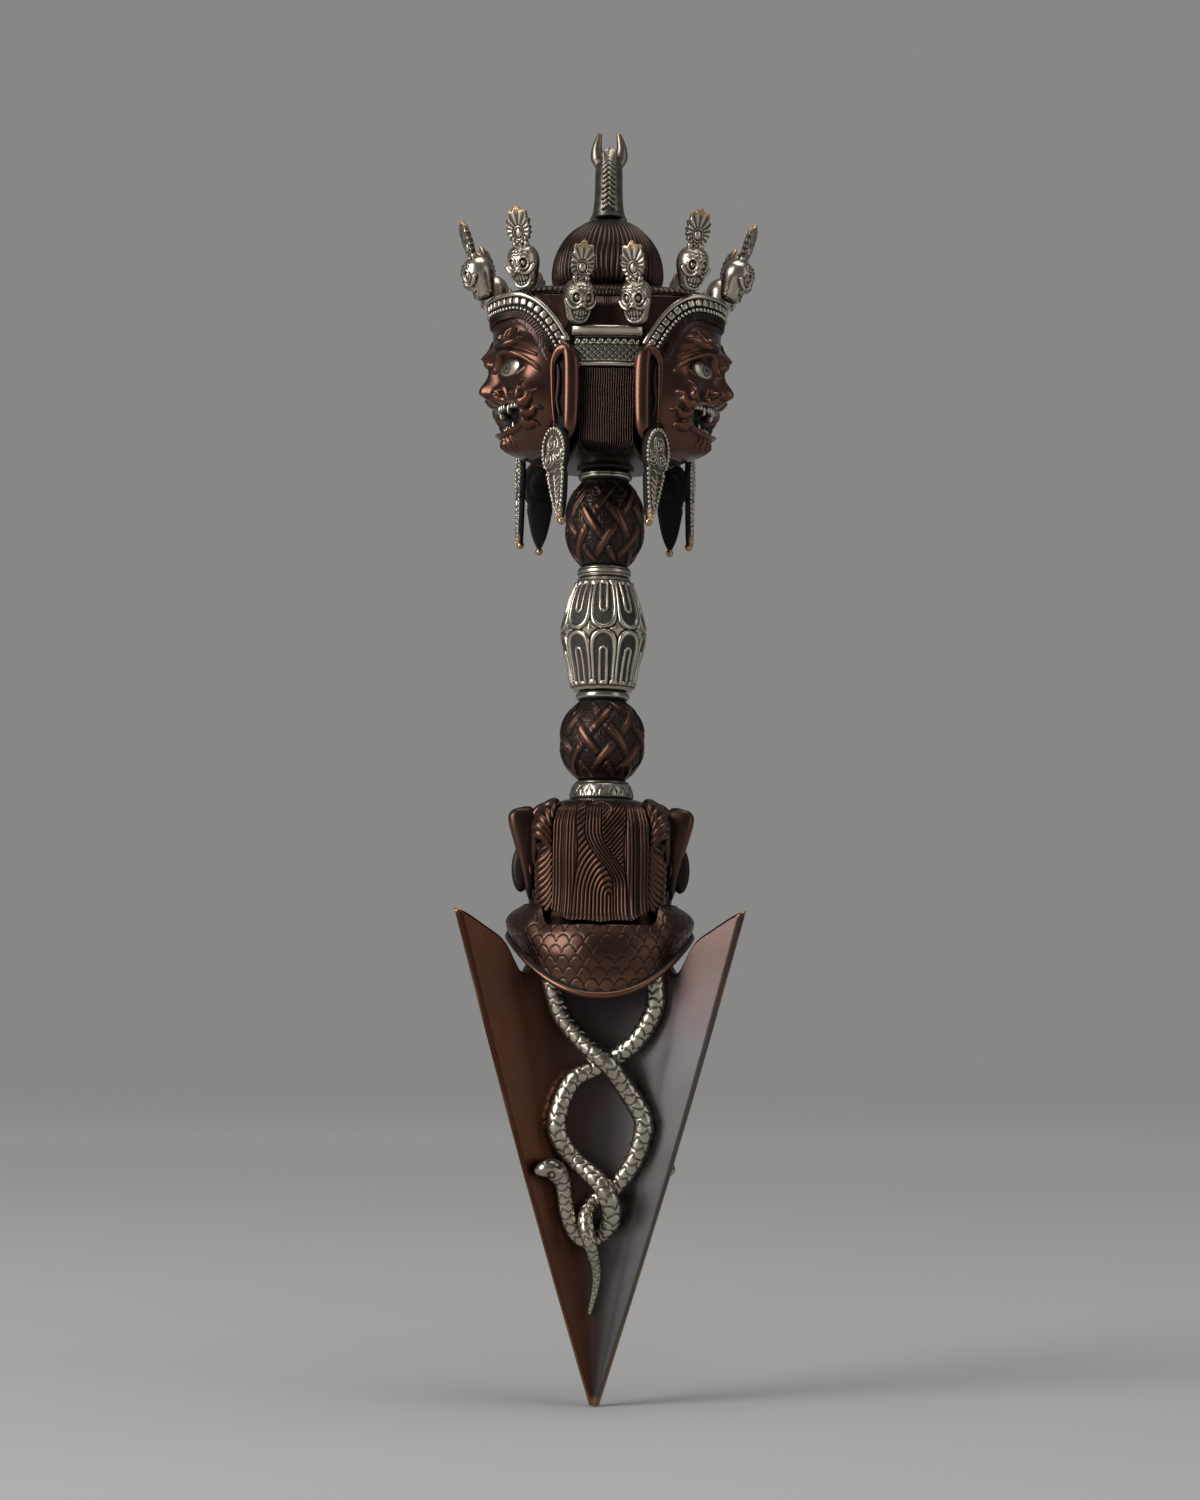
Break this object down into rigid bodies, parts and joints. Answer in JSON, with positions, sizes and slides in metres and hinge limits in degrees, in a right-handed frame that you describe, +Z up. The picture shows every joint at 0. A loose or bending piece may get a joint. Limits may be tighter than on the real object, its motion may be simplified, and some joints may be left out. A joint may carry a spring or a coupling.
{
  "type": "phurba",
  "caption": "Three-finned ritual dagger: blade with coiled snakes, sea-monster head, knotted grip, wrathful heads with skull crowns and a horse-head finial.",
  "frame": {"origin": "the blade's point, on the dagger's long axis", "axes": "+Z up the long axis from the point to the horse head; -Y is the back, between two fins; +Y is the front, where the third head and the sea monster look; +X is to the right seen from the back"},
  "size_m": [0.0818, 0.0773, 0.3497],
  "materials": {
    "copper": "dark patinated copper, satin, rubbed bright on edges",
    "dark_copper": "dark patinated copper, chased, matt in the grooves",
    "antique_silver": "antique silver, black in the recesses",
    "hair_brown": "very dark brown lacquered metal, combed",
    "iron_rod": "plain forged rod, hidden inside"
  },
  "bodies": {
    "root": {"blade": "copper", "tang_rod": "iron_rod", "makara_head": "copper", "makara_jaw": "copper", "makara_mane": "dark_copper", "makara_trunk": "copper", "makara_ears": "copper", "makara_eyes": "antique_silver", "makara_fangs": "antique_silver", "grip_collar": "antique_silver", "lower_knot": "copper", "lower_ring": "antique_silver", "baluster": "antique_silver", "upper_ring": "antique_silver", "upper_knot": "copper", "neck_ring": "antique_silver", "head_core": "hair_brown", "hair_panel": "hair_brown", "nape_band": "antique_silver", "hair_cap": "hair_brown", "hair_bun": "hair_brown", "horse_head": "antique_silver", "temple_plates": "antique_silver", "tail_snake_back": "antique_silver", "head_snake_back": "antique_silver", "tail_snake_right": "antique_silver", "head_snake_right": "antique_silver", "tail_snake_left": "antique_silver", "head_snake_left": "antique_silver", "face_left": "copper", "eyes_left": "antique_silver", "teeth_left": "antique_silver", "crown_band_left": "antique_silver", "face_right": "copper", "eyes_right": "antique_silver", "teeth_right": "antique_silver", "crown_band_right": "antique_silver", "face_main": "copper", "eyes_main": "antique_silver", "teeth_main": "antique_silver", "crown_band_main": "antique_silver", "earring_left_a": "antique_silver", "earring_left_b": "antique_silver", "earring_right_a": "antique_silver", "earring_right_b": "antique_silver", "earring_main_a": "antique_silver", "earring_main_b": "antique_silver", "skull_left_1": "antique_silver", "skull_right_1": "antique_silver", "skull_left_2": "antique_silver", "skull_right_2": "antique_silver", "skull_left_3": "antique_silver", "skull_right_3": "antique_silver", "skull_left_4": "antique_silver", "skull_right_4": "antique_silver", "skull_main_1": "antique_silver", "skull_main_2": "antique_silver", "skull_main_3": "antique_silver", "skull_shared_left": "antique_silver", "skull_shared_right": "antique_silver"}
  },
  "joints": []
}
